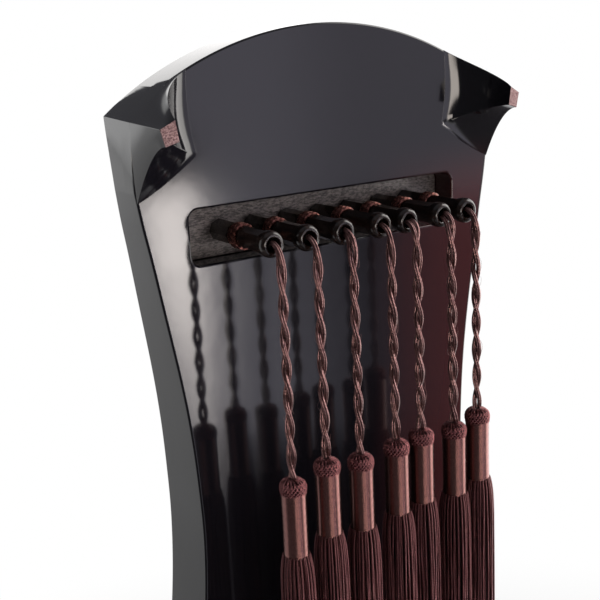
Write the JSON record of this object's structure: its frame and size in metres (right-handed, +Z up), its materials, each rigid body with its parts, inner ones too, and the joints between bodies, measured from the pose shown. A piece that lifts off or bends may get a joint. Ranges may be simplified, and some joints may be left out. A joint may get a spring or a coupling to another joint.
{
  "type": "guqin",
  "caption": "Long arched lacquered board zither with silk strings over a bridge, turning pegs under the head with hanging cords and tassels, and two turned feet.",
  "frame": {"origin": "middle of the upper end wall of the dragon pool, halfway through the bottom board, where a wall hook carries the instrument", "axes": "+Z up to the head end, +Y from the flat back to the strings, +X to the first string's side; the instrument hangs upright"},
  "size_m": [0.2116, 0.1181, 1.2459],
  "materials": {
    "lacquer": "deep glossy black lacquer with a red-brown undertone",
    "ebony": "polished dark hardwood",
    "slot_wood": "dark hardwood with fine grain, satin",
    "peg_wood": "polished dark hardwood",
    "bare_wood": "unfinished softwood",
    "silk_thread": "twisted silk cord, copper brown",
    "tassel_silk": "silk tassel, dark maroon",
    "string_silk": "silk string, pale straw"
  },
  "bodies": {
    "root": {"top_board": "lacquer", "bottom_board": "lacquer", "peg_slot_plate": "slot_wood", "string_hole_strip": "ebony", "bridge": "ebony", "nut": "ebony", "tail_support": "ebony", "sound_post_head": "bare_wood", "sound_post_tail": "bare_wood", "tail_cap_right": "ebony", "tail_cap_left": "ebony", "foot_right": "ebony", "foot_left": "ebony", "string_wrap_right": "string_silk", "string_wrap_left": "string_silk", "peg_guard_right": "lacquer", "peg_guard_left": "lacquer", "silk_loop_1": "silk_thread", "silk_loop_2": "silk_thread", "silk_loop_3": "silk_thread", "silk_loop_4": "silk_thread", "silk_loop_5": "silk_thread", "silk_loop_6": "silk_thread", "silk_loop_7": "silk_thread", "string_1": "string_silk", "string_2": "string_silk", "string_3": "string_silk", "string_4": "string_silk", "string_5": "string_silk", "string_6": "string_silk", "string_7": "string_silk"},
    "tuner_1": {"peg_1": "peg_wood", "peg_winding_1": "silk_thread"},
    "pendant_1": {"tassel_cord_1": "silk_thread", "tassel_1": "tassel_silk"},
    "tuner_2": {"peg_2": "peg_wood", "peg_winding_2": "silk_thread"},
    "pendant_2": {"tassel_cord_2": "silk_thread", "tassel_2": "tassel_silk"},
    "tuner_3": {"peg_3": "peg_wood", "peg_winding_3": "silk_thread"},
    "pendant_3": {"tassel_cord_3": "silk_thread", "tassel_3": "tassel_silk"},
    "tuner_4": {"peg_4": "peg_wood", "peg_winding_4": "silk_thread"},
    "pendant_4": {"tassel_cord_4": "silk_thread", "tassel_4": "tassel_silk"},
    "tuner_5": {"peg_5": "peg_wood", "peg_winding_5": "silk_thread"},
    "pendant_5": {"tassel_cord_5": "silk_thread", "tassel_5": "tassel_silk"},
    "tuner_6": {"peg_6": "peg_wood", "peg_winding_6": "silk_thread"},
    "pendant_6": {"tassel_cord_6": "silk_thread", "tassel_6": "tassel_silk"},
    "tuner_7": {"peg_7": "peg_wood", "peg_winding_7": "silk_thread"},
    "pendant_7": {"tassel_cord_7": "silk_thread", "tassel_7": "tassel_silk"}
  },
  "joints": [
    {"name": "peg_1_turn", "type": "hinge", "parent": "root", "child": "tuner_1", "pos_m": [0.054, 0.00766, 0.33808], "axis": [-0.007, -1, 0], "continuous": true},
    {"name": "tassel_1_swing", "type": "hinge", "parent": "root", "child": "pendant_1", "pos_m": [0.05366, -0.04174, 0.33808], "axis": [-1, 0, 0], "range_deg": [0, 50]},
    {"name": "peg_2_turn", "type": "hinge", "parent": "root", "child": "tuner_2", "pos_m": [0.036, 0.00742, 0.33808], "axis": [0.0489, -0.9988, 0], "continuous": true},
    {"name": "tassel_2_swing", "type": "hinge", "parent": "root", "child": "pendant_2", "pos_m": [0.03841, -0.04192, 0.33808], "axis": [-1, 0, 0], "range_deg": [0, 50]},
    {"name": "peg_3_turn", "type": "hinge", "parent": "root", "child": "tuner_3", "pos_m": [0.018, 0.00767, 0.33808], "axis": [0.0052, -1, 0], "continuous": true},
    {"name": "tassel_3_swing", "type": "hinge", "parent": "root", "child": "pendant_3", "pos_m": [0.01826, -0.04173, 0.33808], "axis": [-1, 0, 0], "range_deg": [0, 50]},
    {"name": "peg_4_turn", "type": "hinge", "parent": "root", "child": "tuner_4", "pos_m": [0, 0.00734, 0.33808], "axis": [0.0628, -0.998, 0], "continuous": true},
    {"name": "tassel_4_swing", "type": "hinge", "parent": "root", "child": "pendant_4", "pos_m": [0.0031, -0.04196, 0.33808], "axis": [-1, 0, 0], "range_deg": [0, 50]},
    {"name": "peg_5_turn", "type": "hinge", "parent": "root", "child": "tuner_5", "pos_m": [-0.018, 0.00765, 0.33808], "axis": [0.0087, -1, 0], "continuous": true},
    {"name": "tassel_5_swing", "type": "hinge", "parent": "root", "child": "pendant_5", "pos_m": [-0.01757, -0.04175, 0.33808], "axis": [-1, 0, 0], "range_deg": [0, 50]},
    {"name": "peg_6_turn", "type": "hinge", "parent": "root", "child": "tuner_6", "pos_m": [-0.036, 0.00767, 0.33808], "axis": [-0.0052, -1, 0], "continuous": true},
    {"name": "tassel_6_swing", "type": "hinge", "parent": "root", "child": "pendant_6", "pos_m": [-0.03626, -0.04173, 0.33808], "axis": [-1, 0, 0], "range_deg": [0, 50]},
    {"name": "peg_7_turn", "type": "hinge", "parent": "root", "child": "tuner_7", "pos_m": [-0.054, 0.00762, 0.33808], "axis": [-0.014, -0.9999, 0], "continuous": true},
    {"name": "tassel_7_swing", "type": "hinge", "parent": "root", "child": "pendant_7", "pos_m": [-0.05469, -0.04177, 0.33808], "axis": [-1, 0, 0], "range_deg": [0, 50]}
  ]
}
